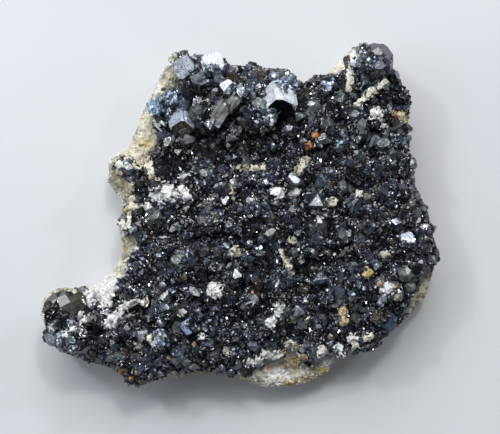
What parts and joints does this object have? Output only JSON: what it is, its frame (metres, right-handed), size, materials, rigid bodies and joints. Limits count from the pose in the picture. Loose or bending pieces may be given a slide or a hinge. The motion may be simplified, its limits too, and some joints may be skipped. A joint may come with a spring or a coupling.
{
  "type": "sphalerite with galena specimen",
  "caption": "Hand-sized plate of pale rock covered by dark, flat-faced sphalerite crystals with bright cut-cornered galena cubes, lying on its flat back.",
  "frame": {"origin": "middle of the specimen's bounding box in plan, on the flat back that it rests on", "axes": "+Z away from the resting face, out of the crystal side; +Y towards the edge that is uppermost in the picture; +X to the right of the picture, along the longest side"},
  "size_m": [0.1096, 0.0956, 0.0284],
  "materials": {
    "pale_rock": "dull, granular pale cream rock",
    "sphalerite": "near black crystal faces with a resinous to metallic lustre",
    "galena": "lead grey crystal faces with a metallic lustre"
  },
  "bodies": {
    "root": {"matrix": "pale_rock", "sphalerite_crust": "sphalerite", "galena_top": "galena", "galena_top_left": "galena", "galena_top_middle": "galena", "galena_stepped": "galena", "galena_left_cube": "galena", "galena_lower_cube": "galena", "galena_inner": "galena", "galena_blue": "galena", "galena_peak": "galena", "galena_centre": "galena", "galena_mound": "galena", "galena_striped": "galena", "galena_right": "galena", "galena_lower_right": "galena", "galena_lobe": "galena"}
  },
  "joints": []
}
